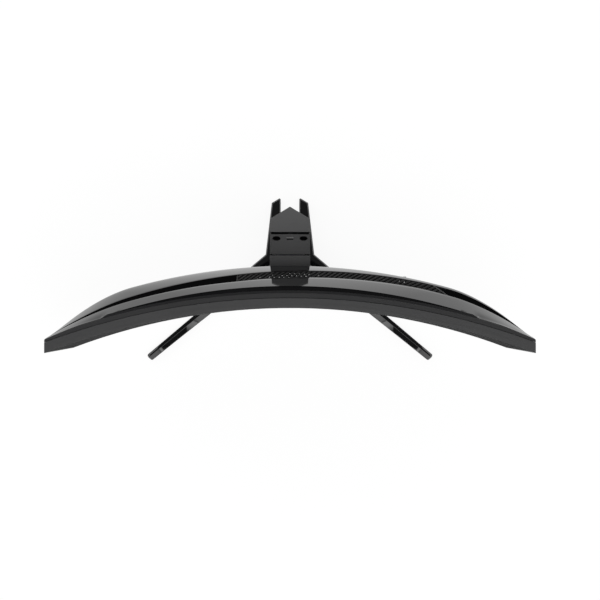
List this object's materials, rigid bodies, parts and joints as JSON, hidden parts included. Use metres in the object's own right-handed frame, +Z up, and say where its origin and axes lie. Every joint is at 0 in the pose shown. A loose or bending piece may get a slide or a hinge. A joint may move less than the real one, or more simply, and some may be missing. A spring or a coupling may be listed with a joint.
{
  "type": "computer monitor",
  "caption": "Wide curved desktop monitor with vented glossy back, tilting hinge blocks, a slim pointed neck and a two-legged V base with a forked tail.",
  "frame": {"origin": "on the desk, under the middle of the object's box", "axes": "+X along the screen's width, -Y the way the screen faces, +Z up"},
  "size_m": [0.71, 0.2716, 0.533],
  "materials": {
    "bezel_plastic": "fine matte texture",
    "cover_gloss": "gloss",
    "grille_plastic": "satin",
    "screen_glass": "matte anti-glare",
    "inner_plastic": "satin",
    "film": "pearl",
    "acrylic": "clear gloss",
    "light_bar": "satin",
    "sheet_steel": "galvanised satin",
    "fastener": "zinc",
    "board": "solder mask",
    "socket_metal": "polished",
    "socket_plastic": "satin",
    "hinge_steel": "dark oiled",
    "block_plastic": "fine matte texture",
    "neck_plastic": "fine matte texture",
    "base_gloss": "gloss paint",
    "control_plastic": "satin",
    "acetal": "satin",
    "foot_rubber": "matte",
    "lens": "frosted"
  },
  "bodies": {
    "stand": {"neck_hinge_bracket": "hinge_steel", "neck_bolts": "fastener", "neck_front_cover": "neck_plastic", "neck_casing": "neck_plastic", "neck_cap": "neck_plastic", "neck_core": "sheet_steel", "neck_foot": "hinge_steel", "base_hub": "base_gloss", "base_leg_left": "base_gloss", "base_leg_right": "base_gloss", "leg_screws": "fastener", "base_screw": "fastener", "rubber_feet": "foot_rubber"},
    "head": {"front_bezel": "bezel_plastic", "lcd_glass": "screen_glass", "mid_frame": "inner_plastic", "optical_films": "film", "light_guide": "acrylic", "reflector_sheet": "film", "led_bar": "light_bar", "backlight_tray": "sheet_steel", "panel_driver_board": "board", "power_light_lens": "lens", "tray_spacers": "sheet_steel", "chassis_plate": "sheet_steel", "chassis_screws": "fastener", "mount_frame": "sheet_steel", "mount_screws": "fastener", "wall_mount_bosses": "fastener", "main_board": "board", "shield_can": "sheet_steel", "power_board": "board", "board_standoffs": "fastener", "board_screws": "fastener", "port_recess": "inner_plastic", "hdmi_socket": "socket_metal", "displayport_socket": "socket_metal", "audio_socket": "socket_plastic", "power_inlet": "socket_plastic", "rear_cover": "cover_gloss", "vent_grille_top": "grille_plastic", "vent_grille_bottom": "grille_plastic", "mount_block_cover": "block_plastic", "tilt_block_cover": "block_plastic", "hinge_head_bracket": "hinge_steel", "bracket_bolts": "fastener", "hinge_pins": "hinge_steel", "friction_washers": "hinge_steel", "hinge_nuts": "fastener", "joystick_board": "board", "joystick_housing": "inner_plastic"},
    "release": {"release_button": "control_plastic"},
    "stick_gimbal": {"joystick_gimbal": "acetal"},
    "stick_rocker": {"joystick_rocker": "acetal"},
    "stick": {"joystick_cap": "control_plastic"}
  },
  "joints": [
    {"name": "tilt", "type": "hinge", "parent": "stand", "child": "head", "pos_m": [0, 0.0604, 0.33], "axis": [-1, 0, 0], "range_deg": [-2, 18]},
    {"name": "release_press", "type": "slide", "parent": "head", "child": "release", "axis": [0, 0, 1], "range_m": [0, 0.003], "stiffness_N_per_m": 600},
    {"name": "joystick_up_down", "type": "hinge", "parent": "head", "child": "stick_gimbal", "pos_m": [0.18, -0.017, 0.185], "axis": [1, 0, 0], "range_deg": [-6, 6], "stiffness_Nm_per_rad": 0.05},
    {"name": "joystick_left_right", "type": "hinge", "parent": "stick_gimbal", "child": "stick_rocker", "pos_m": [0.18, -0.017, 0.185], "axis": [0, 0, 1], "range_deg": [-6, 6], "stiffness_Nm_per_rad": 0.05},
    {"name": "joystick_press", "type": "slide", "parent": "stick_rocker", "child": "stick", "axis": [0, -1, 0], "range_m": [0, 0.0006], "stiffness_N_per_m": 1500}
  ]
}
